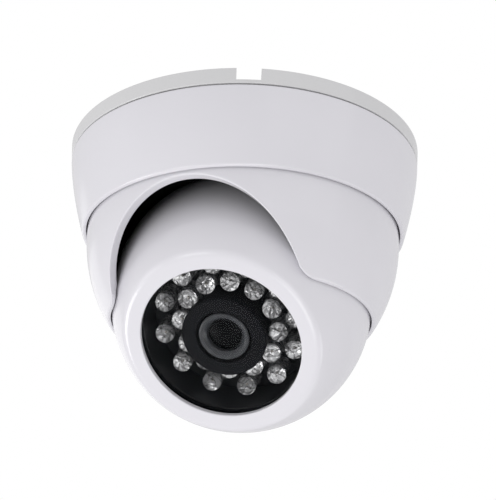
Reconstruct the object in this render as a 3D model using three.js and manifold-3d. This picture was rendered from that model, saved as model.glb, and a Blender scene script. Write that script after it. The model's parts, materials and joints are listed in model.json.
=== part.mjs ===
// Dome cctv camera of the eyeball kind: a base for the ceiling, a cover ring that twists on to it, a shroud
// that pans in the ring, and a camera ball that tilts in the shroud behind an arched opening.
// Millimetres, +Z up. The ceiling face is z = 0, the body hangs below it, and at rest the lens faces -Y.

import * as THREE from 'three';
import { mergeVertices } from 'three/addons/utils/BufferGeometryUtils.js';
import Module from 'manifold-3d';

const wasm = await Module();
wasm.setup();

// ---------------------------------------------------------------- driving dimensions

const GAP = 0.3;              // clearance between pieces that sit on each other
const ROUND = 40;             // facets round a big circle
const ROUND_INSIDE = 32;      // facets round a hollow
const ROUND_SMALL = 8;        // facets round a screw
const ARC_STEPS = 9;          // facets along a quarter of a profile

const baseRadius = 46.7;      // at the ceiling
const baseHeight = 4.2;       // of the rim that shows
const baseDraft = 0.2;        // the rim leans in this much
const basePlate = 2.2;        // thickness
const notch = { azimuth: 21, width: 6.2, depth: 3.3, inner: 34 };  // azimuth from the lens towards +X
const cableHole = { y: 14, radius: 8 };
const slot = { ring: 30, at: [90, 210, 330], radius: 2.3, length: 7 };
const grommet = { bore: 3.2, flange: 2, below: 1.7 };

const coverTop = -4.5;
const coverBottom = -24.9;
const coverRadius = 46.5;     // at its top edge
const coverTaper = { drop: 23.5, pull: 4.9, power: 1.5 };
const wall = 2.3;
const shelf = { inner: 39.5, top: -15.2, bottom: -17 };
const collar = { outer: 41.6, inner: 39.4, bottom: -9.2 };
const bayonet = { at: [60, 180, 300], span: 16, ringInner: 42, baseOuter: 43.6, split: -7.15 };

const shroudRadius = 41.2;
const shroudCentre = -26.8;
const shroudTop = -17.3;
const shroudRim = -49;
const arch = { radius: 25.5, centre: -51.3, corner: 2.5, turn: -1.8 };

const retainer = { inner: 33.5, outer: 41.6, bottom: -13.8, top: -12 };
const retainerScrews = { ring: 36.5, at: [30, 150, 270], head: 2, height: 1.5, shank: 0.9, length: 6.6 };
const retainerBoss = { radius: 2.3, bore: 1.2 };
const panStop = { span: 4, inner: 41.9, tab: 42.6 };

const ballRadius = 33.9;
const ballCentre = -43;
const ballPlay = 0.35;        // clearance of the ball in the shroud
const ballWall = 2.2;
const lensDip = 49.5;         // degrees the lens looks below the horizon at rest
const tiltPin = { radius: 2, play: 0.35, from: 31.9, to: 36.5 };
const tiltWasher = { outer: 3.2, from: 34.25, to: 34.95 };

// Along the lens axis, measured from the ball's centre, the front of the ball is at +.
const faceAt = 22.8;
const flatTo = 23.5;          // the flat face reaches this radius before it rounds over
const windowRadius = 20.7;
const lip = 1.3;
const splitAt = -16;
const rearAt = -27;
const glass = { radius: 22.4, back: 19.9, front: 21.2 };
const ledBoard = { radius: 22.3, hole: 8.2, back: 5.9, front: 7.5 };
const led = { radius: 2.5, flange: 2.9, flangeHeight: 1, domeAt: 13 };
const ledRings = [{ radius: 17.6, start: 0 }, { radius: 12.65, start: 15 }];
const ledsPerRing = 12;
const sleeve = { neck: 9.4, head: 10.9, bore: 7.6, mouth: 7.2, headAt: 17, front: 19.5 };
const lens = { thread: 5.8, head: 6.6, back: 1.5, headAt: 9.6, front: 19.2, seat: 17.9, glass: 5 };
const cameraBoard = { half: 19.5, hole: 17.5, bore: 1.3, back: -5.6, front: -4 };
const boardScrew = { head: 1.9, height: 1.4, shank: 1, length: 8 };
const capScrews = { ring: 25, at: [90, 210, 330], head: 2, height: 1.5, shank: 1, length: 9.5 };
const capBoss = { radius: 2.8, seat: -19 };
const cableHoleRear = 4.9;
const bezelInner = 21.2;

// ---------------------------------------------------------------- materials

const finish = (color, roughness, metalness = 0) =>
  new THREE.MeshStandardMaterial({ color, roughness, metalness });
const whitePlastic = () => finish(0xe9e7ee, 0.32);
const whiteBase = () => finish(0xdcdcdc, 0.45);
const blackPlastic = () => finish(0x17181b, 0.55);
const blackRubber = () => finish(0x1d1d1f, 0.8);
const steel = () => finish(0xb9bcc0, 0.3, 1);
const felt = () => finish(0x55565a, 0.95);
const boardBlack = () => finish(0x121614, 0.5);
const boardGreen = () => finish(0x1d5b38, 0.5);
const clearLed = () => finish(0xdfe3e8, 0.1);
const clearGlass = () => finish(0xeef3f5, 0.05);

// ---------------------------------------------------------------- solids

const radians = THREE.MathUtils.degToRad;

// A closed geometry becomes a solid: vertices merged, empty triangles dropped, faces turned outwards.
function solid(geometry) {
  const bare = geometry.clone();
  bare.deleteAttribute('normal');
  bare.deleteAttribute('uv');
  const merged = mergeVertices(bare, 1e-4);
  const at = merged.attributes.position.array;
  const index = merged.index.array;
  const triangles = [];
  let volume = 0;
  for (let i = 0; i < index.length; i += 3) {
    const [a, b, c] = [index[i], index[i + 1], index[i + 2]];
    if (a === b || b === c || c === a) continue;
    triangles.push(a, b, c);
    const corner = (n) => new THREE.Vector3().fromArray(at, 3 * n);
    volume += corner(a).dot(corner(b).cross(corner(c)));
  }
  if (volume < 0) triangles.reverse();
  const vertProperties = Float32Array.from(at);
  const triVerts = Uint32Array.from(triangles);
  return new wasm.Manifold(new wasm.Mesh({ numProp: 3, vertProperties, triVerts }));
}

function piece(name, body, material) {
  const { vertProperties, triVerts } = body.getMesh();
  const geometry = new THREE.BufferGeometry();
  geometry.setAttribute('position', new THREE.Float32BufferAttribute(vertProperties, 3));
  geometry.setIndex(Array.from(triVerts));
  geometry.computeVertexNormals();
  const mesh = new THREE.Mesh(geometry, material);
  mesh.name = name;
  return mesh;
}

// Points of an arc in a profile, angles in degrees from the first axis.
function arc(x, y, radius, from, to, steps = ARC_STEPS) {
  return Array.from({ length: steps + 1 }, (_, i) => {
    const angle = radians(from + (to - from) * i / steps);
    return [x + radius * Math.cos(angle), y + radius * Math.sin(angle)];
  });
}

// A profile of [radius, height] points turned about Z. It closes on itself, or starts and ends on the axis.
function turned(profile, facets = ROUND) {
  const onAxis = profile[0][0] === 0 && profile.at(-1)[0] === 0;
  const points = (onAxis ? profile : [...profile, profile[0]]).map(([r, z]) => new THREE.Vector2(r, z));
  return solid(new THREE.LatheGeometry(points, facets).rotateX(Math.PI / 2));
}

const disc = (radius, bottom, top, facets = ROUND) =>
  turned([[0, bottom], [radius, bottom], [radius, top], [0, top]], facets);
const tube = (inner, outer, bottom, top, facets = ROUND) =>
  turned([[inner, bottom], [outer, bottom], [outer, top], [inner, top]], facets);
const ball = (radius, facets = ROUND) =>
  turned([[0, -radius], ...arc(0, 0, radius, -90, 90, 2 * ARC_STEPS).slice(1, -1), [0, radius]], facets);

function block(sizes, centre) {
  return solid(new THREE.BoxGeometry(...sizes).translate(...centre));
}

// A stretch of a ring between two heights, centred on an azimuth in degrees from +X.
function sector(inner, outer, azimuth, span, bottom, top) {
  const shape = new THREE.Shape();
  const [from, to] = [radians(azimuth - span / 2), radians(azimuth + span / 2)];
  shape.absarc(0, 0, outer, from, to, false);
  shape.absarc(0, 0, inner, to, from, true);
  const settings = { depth: top - bottom, bevelEnabled: false, curveSegments: 3 };
  return solid(new THREE.ExtrudeGeometry(shape, settings).translate(0, 0, bottom));
}

const around = (ring, azimuth) => [ring * Math.cos(radians(azimuth)), ring * Math.sin(radians(azimuth)), 0];

// A pan-head screw along Z, its head above z = 0 and its shank below.
function screw({ head, height, shank, length }) {
  return turned([[0, -length], [shank, -length + 1], [shank, 0], [head, 0], [head, height * 0.6],
    [head * 0.7, height], [0, height]], ROUND_SMALL);
}

// ---------------------------------------------------------------- base

function slotCutter(azimuth) {
  const half = (slot.length - 2 * slot.radius) / 2;
  const shape = new THREE.Shape();
  shape.absarc(half, 0, slot.radius, -Math.PI / 2, Math.PI / 2, false);
  shape.absarc(-half, 0, slot.radius, Math.PI / 2, 3 * Math.PI / 2, false);
  const settings = { depth: basePlate + 2, bevelEnabled: false, curveSegments: 6 };
  const geometry = new THREE.ExtrudeGeometry(shape, settings);
  geometry.rotateZ(radians(90)).translate(slot.ring, 0, -basePlate - 1).rotateZ(radians(azimuth));
  return solid(geometry);
}

function basePlateBody() {
  const low = baseRadius - baseDraft;
  let body = turned([[0, 0], [baseRadius, 0], [low, -baseHeight], [low - 2.5, -baseHeight],
    [low - 2.5, -basePlate], [collar.outer, -basePlate], [collar.outer, collar.bottom],
    [collar.inner, collar.bottom], [collar.inner, -basePlate], [0, -basePlate]]);
  for (const azimuth of bayonet.at) {
    const high = bayonet.split - GAP / 2;
    body = body.add(sector(collar.outer - 0.6, bayonet.baseOuter, azimuth, bayonet.span, collar.bottom, high));
  }
  for (const azimuth of slot.at) body = body.subtract(slotCutter(azimuth));
  body = body.subtract(disc(cableHole.radius, -basePlate - 1, 1, 24).translate([0, cableHole.y, 0]));
  const outside = baseRadius + 4;
  const channel = block([outside - notch.inner, notch.width, notch.depth + 1],
    [(outside + notch.inner) / 2, 0, (1 - notch.depth) / 2]);
  return body.subtract(channel.rotate([0, 0, notch.azimuth - 90]));
}

function cableGrommetBody() {
  const neck = cableHole.radius - GAP;
  const flange = cableHole.radius + grommet.flange;
  const [low, step] = [-basePlate - grommet.below, -basePlate - GAP];
  const body = turned([[grommet.bore, low], [flange, low], [flange, step], [neck, step], [neck, -GAP],
    [grommet.bore, -GAP]], 16);
  return body.translate([0, cableHole.y, 0]);
}

// ---------------------------------------------------------------- cover ring

const coverOuter = (z) => coverRadius - coverTaper.pull * ((coverTop - z) / coverTaper.drop) ** coverTaper.power;

function coverRingBody() {
  const lipRound = 0.8;
  const bore = shroudRadius + GAP;
  const outer = Array.from({ length: 7 }, (_, i) => coverTop + (coverBottom + lipRound - coverTop) * i / 6)
    .map((z) => [coverOuter(z), z]);
  const lipAt = coverOuter(coverBottom + lipRound) - lipRound;
  let body = turned([...outer, ...arc(lipAt, coverBottom + lipRound, lipRound, -20, -90, 2),
    [bore, coverBottom], [bore, -20], [coverOuter(shelf.bottom) - wall, shelf.bottom],
    [shelf.inner, shelf.bottom], [shelf.inner, shelf.top], [coverOuter(shelf.top) - wall, shelf.top],
    [coverOuter(-10) - wall, -10], [coverRadius - wall, coverTop]]);
  for (const azimuth of bayonet.at) {
    const low = bayonet.split + GAP / 2;
    body = body.add(sector(bayonet.ringInner, coverRadius - 1.6, azimuth, bayonet.span, low, coverTop));
  }
  const stopOuter = coverOuter(shelf.top) - 1;
  return body.add(sector(panStop.inner, stopOuter, 90, panStop.span, shelf.top - 0.5, retainer.top));
}

// ---------------------------------------------------------------- shroud

// The arched doorway in front of the ball: a round arch with rounded feet, cut straight through from the front.
function archCutter() {
  const { radius, centre, corner } = arch;
  const foot = shroudRim + corner;
  const half = Math.sqrt(radius ** 2 - (foot - centre) ** 2);
  const spring = Math.asin((foot - centre) / radius);
  const shape = new THREE.Shape();
  shape.moveTo(half + corner, shroudRim - 5);
  shape.lineTo(half + corner, shroudRim);
  shape.absarc(half + corner, foot, corner, -Math.PI / 2, -Math.PI, true);
  shape.absarc(0, centre, radius, spring, Math.PI - spring, false);
  shape.absarc(-half - corner, foot, corner, 0, -Math.PI / 2, true);
  shape.lineTo(-half - corner, shroudRim - 5);
  const geometry = new THREE.ExtrudeGeometry(shape, { depth: 50, bevelEnabled: false, curveSegments: 18 });
  return solid(geometry.rotateX(Math.PI / 2).rotateZ(radians(arch.turn)));
}

function shroudBody() {
  const flangeUnder = shroudTop - 2;
  const reach = (z, radius) => Math.sqrt(radius ** 2 - (z - shroudCentre) ** 2);
  const dip = (z, radius) => THREE.MathUtils.radToDeg(Math.asin((z - shroudCentre) / radius));
  const inner = shroudRadius - wall;
  const shell = turned([
    ...arc(0, shroudCentre, shroudRadius, dip(shroudTop, shroudRadius), dip(shroudRim, shroudRadius), ARC_STEPS),
    [retainer.inner, shroudRim], [retainer.inner, shroudTop]]);
  const room = turned([[0, shroudRim - 1], [reach(shroudRim, inner), shroudRim - 1],
    ...arc(0, shroudCentre, inner, dip(shroudRim, inner), dip(flangeUnder, inner), 6),
    [0, flangeUnder]], ROUND_INSIDE);
  const ballRoom = ball(ballRadius + ballPlay, ROUND_INSIDE).translate([0, 0, ballCentre]);
  let body = shell.subtract(room).subtract(ballRoom);
  for (const azimuth of retainerScrews.at) {
    const place = around(retainerScrews.ring, azimuth);
    const boss = disc(retainerBoss.radius, flangeUnder + 0.5, retainer.bottom - GAP, 12);
    const bore = disc(retainerBoss.bore, flangeUnder - 1, retainer.bottom + 1, ROUND_SMALL);
    body = body.add(boss.translate(place)).subtract(bore.translate(place));
  }
  for (const side of [-90, 90]) {
    const pinHole = disc(tiltPin.radius + GAP, 30, tiltPin.to + GAP, 16);
    const socket = pinHole.add(disc(tiltWasher.outer + GAP, 30, tiltWasher.to + 0.25, 16));
    body = body.subtract(socket.rotate([0, side, 0]).translate([0, 0, ballCentre]));
  }
  return body.subtract(archCutter());
}

function panRetainerBody() {
  const { inner, outer, bottom, top } = retainer;
  const tab = sector(outer - 1, panStop.tab, 270, panStop.span, bottom, top);
  let body = tube(inner, outer, bottom, top).add(tab);
  for (const azimuth of retainerScrews.at) {
    const bore = disc(retainerBoss.bore, bottom - 1, top + 1, ROUND_SMALL);
    body = body.subtract(bore.translate(around(retainerScrews.ring, azimuth)));
  }
  return body;
}

const panWasherBody = () => tube(shelf.inner + GAP, retainer.outer, shelf.top + GAP, retainer.bottom - GAP);

function alongX(body, side) {
  return body.rotate([0, side * 90, 0]).translate([0, 0, ballCentre]);
}

const tiltPinBody = (side) => alongX(disc(tiltPin.radius, tiltPin.from, tiltPin.to, 16), side);
const tiltWasherBody = (side) =>
  alongX(tube(tiltPin.radius + tiltPin.play, tiltWasher.outer, tiltWasher.from, tiltWasher.to, 16), side);

// ---------------------------------------------------------------- camera ball, along the lens axis

const boardCorners = [[1, 1], [-1, 1], [-1, -1], [1, -1]]
  .map(([x, y]) => [x * cameraBoard.hole, y * cameraBoard.hole, 0]);
const sphereAngle = (d, radius) => THREE.MathUtils.radToDeg(Math.asin(d / radius));

function ballFrontShellBody() {
  const inner = ballRadius - ballWall;
  const pocket = faceAt - lip;
  const roundOver = sphereAngle(faceAt - 1.6, ballRadius);
  let body = turned([[windowRadius, pocket], [windowRadius, faceAt], [flatTo, faceAt],
    [flatTo + 1.7, faceAt - 0.45],
    ...arc(0, 0, ballRadius, roundOver, sphereAngle(splitAt, ballRadius), 9),
    ...arc(0, 0, inner, sphereAngle(splitAt, inner), sphereAngle(pocket, inner), 7)]);
  for (const corner of boardCorners) {
    body = body.add(disc(2, cameraBoard.front + GAP, faceAt - 2.3, ROUND_SMALL).translate(corner));
    body = body.subtract(disc(cameraBoard.bore, cameraBoard.front - 1, 3.2, ROUND_SMALL).translate(corner));
  }
  for (const azimuth of capScrews.at) {
    const out = [capScrews.ring, 0, 0];
    const boss = disc(capBoss.radius, splitAt + 0.1, splitAt + 8, ROUND_SMALL).translate(out);
    const rib = block([4.4, 2, 5], [capScrews.ring + 2.2, 0, splitAt + 2.6]);
    const bore = disc(capScrews.shank + GAP, splitAt - 1, splitAt + 7, ROUND_SMALL).translate(out);
    body = body.add(boss.add(rib).rotate([0, 0, azimuth])).subtract(bore.rotate([0, 0, azimuth]));
  }
  for (const side of [-90, 90]) {
    body = body.subtract(disc(tiltPin.radius + tiltPin.play, 25, 40, 16).rotate([0, side, 0]));
  }
  return body;
}

function ballRearCapBody() {
  const inner = ballRadius - ballWall;
  const [edge, floor] = [splitAt - GAP, rearAt + ballWall];
  let body = turned([
    ...arc(0, 0, ballRadius, sphereAngle(edge, ballRadius), sphereAngle(rearAt, ballRadius), 4),
    [cableHoleRear, rearAt], [cableHoleRear, floor],
    ...arc(0, 0, inner, sphereAngle(floor, inner), sphereAngle(edge, inner), 3)]);
  for (const azimuth of capScrews.at) {
    const out = [capScrews.ring, 0, 0];
    const pad = disc(capBoss.radius, capBoss.seat, edge, ROUND_SMALL).translate(out);
    const head = disc(capScrews.head + 0.4, -ballRadius, capBoss.seat, ROUND_SMALL).translate(out);
    const bore = disc(capScrews.shank + GAP, -ballRadius, 0, ROUND_SMALL).translate(out);
    body = body.add(pad.rotate([0, 0, azimuth])).subtract(head.add(bore).rotate([0, 0, azimuth]));
  }
  return body;
}

function cableGlandBody() {
  const [inside, outside] = [rearAt + ballWall + GAP, rearAt - GAP];
  const [bore, neck] = [2.2, cableHoleRear - GAP];
  return turned([[bore, inside + 1.2], [bore, outside - 1.5], [5.4, outside - 1.5], [6.3, outside],
    [neck, outside], [neck, inside], [6.5, inside], [6.5, inside + 1.2]], 16);
}

const windowBezelBody = () => tube(bezelInner, ledBoard.radius, ledBoard.front + GAP, glass.back - 1.6);

function windowSealBody() {
  const [low, high] = [glass.back - 1.3, glass.back - GAP];
  return turned([[bezelInner, low], [glass.radius, low], [glass.radius, high - 0.2], [21.8, high],
    [bezelInner, high - 0.2]], 32);
}

const ledBoardBody = () => tube(ledBoard.hole, ledBoard.radius, ledBoard.back, ledBoard.front);

const windowGlassBody = () => disc(glass.radius, glass.back, glass.front);

function ledBody() {
  const foot = ledBoard.front + GAP;
  const step = foot + led.flangeHeight;
  const dome = arc(0, led.domeAt, led.radius, 0, 90, 2).slice(0, -1);
  return turned([[0, foot], [led.flange, foot], [led.flange, step], [led.radius, step], ...dome,
    [0, led.domeAt + led.radius]], ROUND_SMALL);
}

function lensSleeveBody() {
  const { neck, head, bore, mouth, headAt, front } = sleeve;
  const foot = ledBoard.front + GAP;
  return turned([[bore, foot], [neck, foot], [neck, headAt], [head, headAt], [head, front - 0.4],
    [head - 0.4, front], [mouth, front], [mouth, front - 1.5], [bore, front - 1.5]], 32);
}

function lensHolderBody() {
  const foot = cameraBoard.front + GAP;
  const body = block([16, 16, 5], [0, 0, foot + 2.5]).add(disc(7.3, foot + 4, 9.3, 24));
  const pocket = block([11, 11, 4], [0, 0, foot + 1.9]);
  const thread = disc(lens.thread + GAP, lens.back - 0.5, 20, 24);
  return body.subtract(thread).subtract(pocket).subtract(disc(4.8, foot, 5, 16));
}

function lensBarrelBody() {
  const { thread, head, back, headAt, front, seat } = lens;
  return turned([[0, back], [thread, back], [thread, headAt], [head, headAt], [head, front - 0.3],
    [head - 0.3, front], [lens.glass, seat], [lens.glass, seat - 1.5], [0, seat - 1.5]], 24);
}

function lensGlassBody() {
  const edge = lens.glass - GAP;
  const [low, bevel, rise] = [lens.seat - 1.2, lens.seat - 0.8, 0.8];
  return turned([[0, low], [edge, low], [edge, bevel], [edge * 0.7, bevel + rise * 0.6],
    [edge * 0.35, bevel + rise * 0.9], [0, bevel + rise]], 20);
}

function cameraBoardBody() {
  const { half, back, front } = cameraBoard;
  let body = block([2 * half, 2 * half, front - back], [0, 0, (front + back) / 2]);
  for (const corner of boardCorners) {
    body = body.subtract(disc(cameraBoard.bore, back - 1, front + 1, ROUND_SMALL).translate(corner));
  }
  return body;
}

const imageSensorBody = () => block([8, 8, 1], [0, 0, cameraBoard.front + GAP + 0.5]);

function jumperCableBody() {
  const [top, bottom] = [ledBoard.back - 3 * GAP, cameraBoard.front + 3 * GAP];
  const middle = (top + bottom) / 2;
  const path = new THREE.CatmullRomCurve3([[-13, top], [-15.2, top - 1.8], [-17.4, middle], [-15.2, bottom + 1.8],
    [-13, bottom]].map(([y, z]) => new THREE.Vector3(0, y, z)));
  const section = new THREE.Shape();
  section.absarc(0, 0, 0.8, 0, 2 * Math.PI, false);
  return solid(new THREE.ExtrudeGeometry(section, { steps: 10, extrudePath: path, curveSegments: 4 }));
}

// ---------------------------------------------------------------- assembly

const camera = new THREE.Group();
camera.name = 'dome_cctv_camera';

camera.add(piece('base_plate', basePlateBody(), whiteBase()));
camera.add(piece('cable_grommet', cableGrommetBody(), blackRubber()));
camera.add(piece('cover_ring', coverRingBody(), whitePlastic()));
camera.add(piece('pan_washer', panWasherBody(), felt()));
camera.add(piece('shroud', shroudBody(), whitePlastic()));
camera.add(piece('pan_retainer', panRetainerBody(), whiteBase()));

retainerScrews.at.forEach((azimuth, i) => {
  const mesh = piece(`retainer_screw_${i + 1}`, screw(retainerScrews), steel());
  mesh.position.set(...around(retainerScrews.ring, azimuth)).setZ(retainer.top + GAP);
  camera.add(mesh);
});

for (const [word, side] of [['right', 1], ['left', -1]]) {
  camera.add(piece(`tilt_pin_${word}`, tiltPinBody(side), steel()));
  camera.add(piece(`tilt_washer_${word}`, tiltWasherBody(side), blackRubber()));
}

const eyeball = new THREE.Group();
eyeball.position.z = ballCentre;
eyeball.rotation.x = Math.PI / 2 + radians(lensDip);
camera.add(eyeball);

eyeball.add(piece('ball_front_shell', ballFrontShellBody(), whitePlastic()));
eyeball.add(piece('ball_rear_cap', ballRearCapBody(), whitePlastic()));
eyeball.add(piece('cable_gland', cableGlandBody(), blackRubber()));
eyeball.add(piece('window_glass', windowGlassBody(), clearGlass()));
eyeball.add(piece('window_seal', windowSealBody(), blackRubber()));
eyeball.add(piece('window_bezel', windowBezelBody(), blackPlastic()));
eyeball.add(piece('led_board', ledBoardBody(), boardBlack()));
eyeball.add(piece('lens_sleeve', lensSleeveBody(), blackRubber()));
eyeball.add(piece('lens_holder', lensHolderBody(), blackPlastic()));
eyeball.add(piece('lens_barrel', lensBarrelBody(), blackPlastic()));
eyeball.add(piece('lens_front_glass', lensGlassBody(), clearGlass()));
eyeball.add(piece('camera_board', cameraBoardBody(), boardGreen()));
eyeball.add(piece('image_sensor', imageSensorBody(), blackPlastic()));
eyeball.add(piece('jumper_cable', jumperCableBody(), blackPlastic()));

for (const [word, side] of [['right', 1], ['left', -1]]) {
  const spacer = disc(2.2, cameraBoard.front + GAP, ledBoard.back - GAP, 8).translate([side * 15.5, 0, 0]);
  eyeball.add(piece(`board_spacer_${word}`, spacer, whiteBase()));
}

boardCorners.forEach((corner, i) => {
  const mesh = piece(`board_screw_${i + 1}`, screw(boardScrew), steel());
  mesh.rotation.x = Math.PI;
  mesh.position.set(corner[0], corner[1], cameraBoard.back - GAP);
  eyeball.add(mesh);
});

capScrews.at.forEach((azimuth, i) => {
  const mesh = piece(`cap_screw_${i + 1}`, screw(capScrews), steel());
  mesh.rotation.x = Math.PI;
  mesh.position.set(...around(capScrews.ring, azimuth)).setZ(capBoss.seat - GAP);
  eyeball.add(mesh);
});

ledRings.forEach(({ radius, start }, ring) => {
  for (let i = 0; i < ledsPerRing; i++) {
    const number = String(ring * ledsPerRing + i + 1).padStart(2, '0');
    const mesh = piece(`ir_led_${number}`, ledBody(), clearLed());
    mesh.position.set(...around(radius, start + i * 360 / ledsPerRing));
    eyeball.add(mesh);
  }
});

export default camera;
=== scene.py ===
"""The looks of a dome cctv camera, laid out as an add-on whose operators each make a group of pieces."""

import json
import math
import random

import bmesh
import bpy
from mathutils import Matrix, Vector


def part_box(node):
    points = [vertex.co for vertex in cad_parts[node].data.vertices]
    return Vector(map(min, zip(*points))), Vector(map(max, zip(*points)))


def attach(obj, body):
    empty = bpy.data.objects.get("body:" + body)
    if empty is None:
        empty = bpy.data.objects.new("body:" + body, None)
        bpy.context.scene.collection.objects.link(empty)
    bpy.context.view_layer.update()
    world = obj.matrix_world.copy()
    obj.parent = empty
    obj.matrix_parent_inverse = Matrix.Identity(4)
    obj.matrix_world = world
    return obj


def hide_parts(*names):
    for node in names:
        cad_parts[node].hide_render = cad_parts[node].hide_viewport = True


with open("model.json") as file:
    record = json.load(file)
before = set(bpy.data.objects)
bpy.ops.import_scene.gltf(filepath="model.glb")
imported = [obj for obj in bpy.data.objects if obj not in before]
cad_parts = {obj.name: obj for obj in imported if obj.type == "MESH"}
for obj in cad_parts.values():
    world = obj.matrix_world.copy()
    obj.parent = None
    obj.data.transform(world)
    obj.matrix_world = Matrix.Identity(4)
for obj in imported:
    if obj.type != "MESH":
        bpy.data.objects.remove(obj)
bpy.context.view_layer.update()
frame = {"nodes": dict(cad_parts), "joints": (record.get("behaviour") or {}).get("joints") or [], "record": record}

bl_info = {
    "name": "Dome CCTV Camera",
    "version": (1, 0, 0),
    "blender": (4, 5, 0),
    "location": "View3D > Sidebar > Dome Camera",
    "description": "Makes the shells, lamps, lens, screws and studio of a ceiling dome camera",
    "category": "Object",
}

# ------------------------------------------------------------ sizes, in millimetres and degrees

MM = 0.001
JOINTS = {joint["name"]: joint for joint in frame["joints"]}
SLOTS = {part["node"]: part["material_slot"] for part in frame["record"]["subparts"]}


def low_high(node):
    """A node's lowest and highest corner in millimetres."""
    low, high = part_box(node)
    return low / MM, high / MM


BASE_LOW, BASE_HIGH = low_high("base_plate")
COVER_LOW, COVER_HIGH = low_high("cover_ring")
SHROUD_LOW, SHROUD_HIGH = low_high("shroud")
GROMMET_LOW, GROMMET_HIGH = low_high("cable_grommet")
RETAINER_TOP = low_high("pan_retainer")[1].z

BASE_RADIUS = BASE_HIGH.x
RIM_HEIGHT = 4.2
RIM_DRAFT = 0.2
RIM_WALL = 2.5
PLATE = 2.2
NOTCH = {"azimuth": 21, "width": 6.2, "depth": 3.3, "inner": 34}
SCREW_SLOT = {"ring": 30, "radius": 2.3, "length": 7, "azimuths": (90, 210, 330)}
GROMMET_AT = (GROMMET_LOW + GROMMET_HIGH) / 2
GROMMET = {"hole": 8, "bore": 3.2}

COVER_TAPER = {"drop": 23.5, "pull": 4.9, "power": 1.5}
SHELF = {"inner": 39.5, "top": -15.2, "bottom": -17}
COLLAR = {"outer": 41.6, "inner": 39.4}
WALL = 2.3
FIT = 0.3           # room left between two pieces
LUGS = {"azimuths": (60, 180, 300), "span": 16}
BASE_LUG = {"outer": 43.6, "top": -7.3, "into_wall": 0.6}
COVER_LUG = {"inner": 42, "bottom": -7, "into_wall": 1.6}
PAN_STOP = {"inner": 41.9, "azimuth": 90, "span": 4}

SHROUD_RADIUS = SHROUD_HIGH.x
SHROUD_CENTRE = -26.8
SHROUD_TOP = -17.3
RIM = SHROUD_LOW.z
SHROUD_WALL = 2.75
# a black disc that stands in for the shade seen through the gap under the arch
SHADE_DISC = {"hole": 9, "radius": 34.8, "gap": 0.05, "thickness": 0.6}
FLANGE_INNER = 33.5
ARCH = {"radius": 25.5, "centre": -51.3, "corner": 2.5, "turn": -1.8}

BALL_RADIUS = 33.9
BALL_PLAY = 0.35
BALL_WALL = 2.2
GLAND_HOLE = 4.9
FACE = 22.8
FACE_ROUND = 3.0
WINDOW_RADIUS = 20.7
LIP = 1.3
SPLIT = -16
REAR = -27
GLASS = {"radius": 22.4, "back": 19.9, "front": 21.2}
BEZEL_INNER = 21.2
BOARD = {"radius": 22.3, "hole": 8.2, "back": 5.9, "front": 7.5}
LAMP = {"radius": 2.5, "flange": 2.9, "step": 1.0, "dome": 13.0, "foot": 7.8, "dish": 0.5}
LAMP_RINGS = [(17.6, 0), (12.65, 15)]       # radius, azimuth of the first lamp
LAMPS_PER_RING = 12
SLEEVE = {"neck": 9.4, "head": 10.9, "bore": 7.6, "mouth": 7.2, "shoulder": 17, "front": 19.5}
LENS = {"thread": 5.8, "head": 6.6, "back": 1.5, "shoulder": 9.6, "front": 19.2, "seat": 18.3, "glass": 4.6}

RETAINER_SCREWS = {"count": 3, "ring": 36.5, "start": 30, "length": 6.6}
BOARD_SCREWS = {"count": 4, "ring": 17.5 * math.sqrt(2), "start": 45, "length": 8.0, "seat": 5.9}
CAP_SCREWS = {"count": 3, "ring": 25, "start": -90, "length": 9.5, "seat": 19.3}
CAP_POST = {"azimuths": (90, 210, 330), "radius": 2.8, "recess": 2.4, "hole": 1.3, "seat": -19}

SHARP_ANGLE = 32
FACETS = {"shell": 256, "disc": 192, "lens": 128, "ring": 96, "post": 48, "lamp": 40, "screw": 32}


def lens_frame():
    """The matrix to the object's frame from the lens's own, which has its third axis out of the lens."""
    out = Vector(JOINTS["focus"]["axis"]).normalized()
    right = Vector((1, 0, 0))
    up = out.cross(right)
    turn = Matrix((right, up, out)).transposed().to_4x4()
    return Matrix.Translation(Vector(JOINTS["tilt"]["pos_m"]) / MM) @ turn


ALONG_LENS = lens_frame()
UPRIGHT = Matrix.Identity(4)


# ------------------------------------------------------------ what a user would change

def colour_property(name, description, default):
    return bpy.props.FloatVectorProperty(
        name=name, description=description, default=default, subtype="COLOR", size=3, min=0, max=1)


def length_property(name, description, default):
    return bpy.props.FloatProperty(
        name=name, description=description, default=default * MM, subtype="DISTANCE", unit="LENGTH", min=0)


class DomeCameraSizes(bpy.types.PropertyGroup):
    """Sizes of the edges and of the small parts."""
    edge: length_property("Edge", "Rounding of the moulded outer edges", 0.45)
    arch_edge: length_property("Arch edge", "Rounding of the arched opening's outer edge", 0.55)
    face_round: length_property("Face rounding", "Rounding from the ball's face to its sphere", FACE_ROUND)
    lamp_radius: length_property("Lamp radius", "Radius of an infrared lamp's body", LAMP["radius"])
    screw_head: length_property("Screw head", "Radius of a screw's head", 2.0)
    lamp_turn: bpy.props.FloatProperty(
        name="Lamp turn", description="Most that a lamp is turned about its own axis",
        default=math.pi, subtype="ANGLE", unit="ROTATION", min=0)


class DomeCameraColours(bpy.types.PropertyGroup):
    """Colours of the mouldings and of the studio."""
    shell: colour_property("Shell", "White of the cover, shroud and ball", (0.775, 0.765, 0.80))
    base: colour_property("Base", "White of the base", (0.70, 0.70, 0.70))
    black: colour_property("Black", "Black of the window tube and lens parts", (0.006, 0.0065, 0.008))
    board: colour_property("Board", "Solder mask of the lamp board", (0.004, 0.005, 0.006))
    floor: colour_property("Floor", "Colour of the studio floor", (0.86, 0.86, 0.86))


# ------------------------------------------------------------ outlines

def arc(x, y, radius, start, end, steps):
    """Points of an arc, angles in degrees from the first axis."""
    angles = [math.radians(start + (end - start) * i / steps) for i in range(steps + 1)]
    return [(x + radius * math.cos(a), y + radius * math.sin(a)) for a in angles]


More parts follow.
